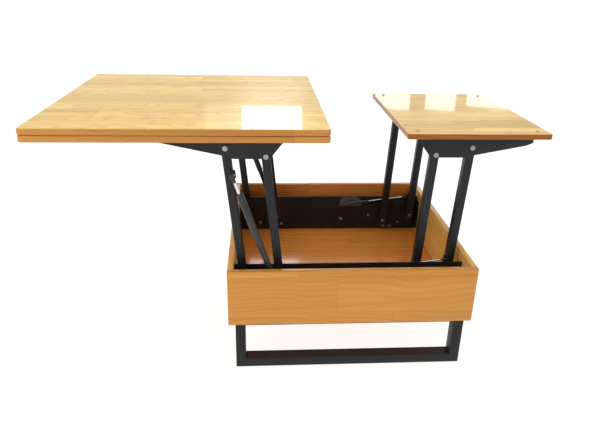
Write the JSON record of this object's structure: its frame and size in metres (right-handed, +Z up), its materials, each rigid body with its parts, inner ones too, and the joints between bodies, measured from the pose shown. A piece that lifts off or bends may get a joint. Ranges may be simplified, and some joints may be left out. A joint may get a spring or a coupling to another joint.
{
  "type": "lift top coffee table",
  "caption": "Square storage coffee table on black steel leg frames, with a folding two-leaf pine top and a smaller pine top that rise on parallel steel arms.",
  "frame": {"origin": "on the floor, under the middle of the raised table's bounding box", "axes": "+X along the raised table towards the small top, +Y towards the back, +Z up"},
  "size_m": [1.4604, 0.8, 0.7729],
  "materials": {
    "top_pine": "clear gloss lacquer on edge-glued pine staves",
    "box_pine": "satin lacquer on pine boards",
    "floor_pine": "satin lacquer on pine boards",
    "black_steel": "satin black powder coat",
    "dark_steel": "black oxide",
    "zinc": "bright zinc plate",
    "rod_chrome": "ground and plated",
    "strut_black": "gloss black paint",
    "black_plastic": "moulded",
    "nylon": "moulded natural nylon",
    "glide_rubber": "moulded",
    "clear_bumper": "clear soft bumper"
  },
  "bodies": {
    "base": {"front_panel": "box_pine", "back_panel": "box_pine", "left_panel": "box_pine", "right_panel": "box_pine", "floor_panel": "floor_pine", "corner_blocks": "box_pine", "front_leg_frame": "black_steel", "back_leg_frame": "black_steel", "leg_straps": "black_steel", "leg_screws": "zinc", "foot_glides": "glide_rubber", "front_side_plate": "black_steel", "back_side_plate": "black_steel", "plate_end_tabs": "black_steel", "tab_screws": "zinc", "plate_standoffs": "dark_steel", "standoff_bolts": "zinc", "left_pivot_plates": "black_steel", "right_pivot_plates": "black_steel", "pivot_plate_bolts": "zinc", "lower_pivot_bolts": "zinc", "lower_pivot_spacers": "dark_steel", "right_strut_mounts": "dark_steel"},
    "left_outer_arms": {"front_left_outer_arm": "black_steel", "back_left_outer_arm": "black_steel", "left_outer_arm_plugs": "black_plastic", "left_outer_arm_bushes": "nylon"},
    "left_inner_arms": {"front_left_inner_arm": "black_steel", "back_left_inner_arm": "black_steel", "left_inner_arm_plugs": "black_plastic", "left_inner_arm_bushes": "nylon"},
    "right_outer_arms": {"front_right_outer_arm": "black_steel", "back_right_outer_arm": "black_steel", "right_outer_arm_plugs": "black_plastic", "right_outer_arm_bushes": "nylon"},
    "right_inner_arms": {"front_right_inner_arm": "black_steel", "back_right_inner_arm": "black_steel", "right_inner_arm_plugs": "black_plastic", "right_inner_arm_bushes": "nylon"},
    "left_top": {"lower_leaf": "top_pine", "front_left_bracket": "black_steel", "back_left_bracket": "black_steel", "left_bracket_screws": "zinc", "left_top_pivot_bolts": "zinc", "leaf_hinge_plates": "zinc", "leaf_hinge_pins": "zinc"},
    "upper_leaf": {"upper_leaf": "top_pine", "leaf_hinge_flaps": "zinc"},
    "right_top": {"small_top": "top_pine", "front_right_bracket": "black_steel", "back_right_bracket": "black_steel", "right_bracket_screws": "zinc", "right_top_pivot_bolts": "zinc", "top_bumpers": "clear_bumper"},
    "left_strut_cylinders": {"left_strut_cylinders": "strut_black"},
    "left_strut_rods": {"left_strut_rods": "rod_chrome", "left_strut_end_fittings": "strut_black"},
    "right_strut_cylinders": {"right_strut_cylinders": "strut_black"},
    "right_strut_rods": {"right_strut_rods": "rod_chrome", "right_strut_end_fittings": "strut_black"}
  },
  "joints": [
    {"name": "left_lift", "type": "hinge", "parent": "base", "child": "left_outer_arms", "pos_m": [-0.16437, 0, 0.256], "axis": [0, 1, 0], "range_deg": [0, 89.93]},
    {"name": "left_inner_swing", "type": "hinge", "parent": "base", "child": "left_inner_arms", "pos_m": [-0.05237, 0, 0.232], "axis": [0, 1, 0], "range_deg": [-0.01, 89.94]},
    {"name": "left_top_level", "type": "hinge", "parent": "left_outer_arms", "child": "left_top", "pos_m": [-0.21243, 0, 0.6984], "axis": [0, 1, 0], "range_deg": [-89.94, 0.01]},
    {"name": "leaf_fold", "type": "hinge", "parent": "left_top", "child": "upper_leaf", "pos_m": [0.07103, 0, 0.7546], "axis": [0, 1, 0], "range_deg": [0, 180]},
    {"name": "left_strut_swing", "type": "hinge", "parent": "base", "child": "left_strut_cylinders", "pos_m": [-0.05237, 0, 0.232], "axis": [0, 1, 0], "range_deg": [-0.01, 97.93]},
    {"name": "left_strut_slide", "type": "slide", "parent": "left_strut_cylinders", "child": "left_strut_rods", "axis": [-0.341, 0, 0.9401], "range_m": [-0.15535, 0.0001]},
    {"name": "right_lift", "type": "hinge", "parent": "base", "child": "right_outer_arms", "pos_m": [0.48123, 0, 0.252], "axis": [0, -1, 0], "range_deg": [-0.01, 87.78]},
    {"name": "right_inner_swing", "type": "hinge", "parent": "base", "child": "right_inner_arms", "pos_m": [0.37473, 0, 0.23], "axis": [0, -1, 0], "range_deg": [-0.01, 87.78]},
    {"name": "right_top_level", "type": "hinge", "parent": "right_outer_arms", "child": "right_top", "pos_m": [0.50317, 0, 0.68505], "axis": [0, -1, 0], "range_deg": [-87.78, 0.01]},
    {"name": "right_strut_swing", "type": "hinge", "parent": "base", "child": "right_strut_cylinders", "pos_m": [0.22223, 0, 0.29], "axis": [0, 1, 0], "range_deg": [-0.01, 20.88]},
    {"name": "right_strut_slide", "type": "slide", "parent": "right_strut_cylinders", "child": "right_strut_rods", "axis": [0.992, 0, 0.1262], "range_m": [-0.05612, 0.0001]}
  ],
  "couplings": [
    {"joint": "left_inner_swing", "follows": "left_lift", "ratio": 1},
    {"joint": "left_top_level", "follows": "left_lift", "ratio": -1},
    {"joint": "left_strut_swing", "follows": "left_lift", "ratio": 1.0889},
    {"joint": "left_strut_slide", "follows": "left_lift", "m_per_rad": -0.098913},
    {"joint": "right_lift", "follows": "left_lift", "ratio": 0.97602},
    {"joint": "right_inner_swing", "follows": "left_lift", "ratio": 0.97602},
    {"joint": "right_top_level", "follows": "left_lift", "ratio": -0.97602},
    {"joint": "right_strut_swing", "follows": "left_lift", "ratio": 0.23201},
    {"joint": "right_strut_slide", "follows": "left_lift", "m_per_rad": -0.035693}
  ]
}
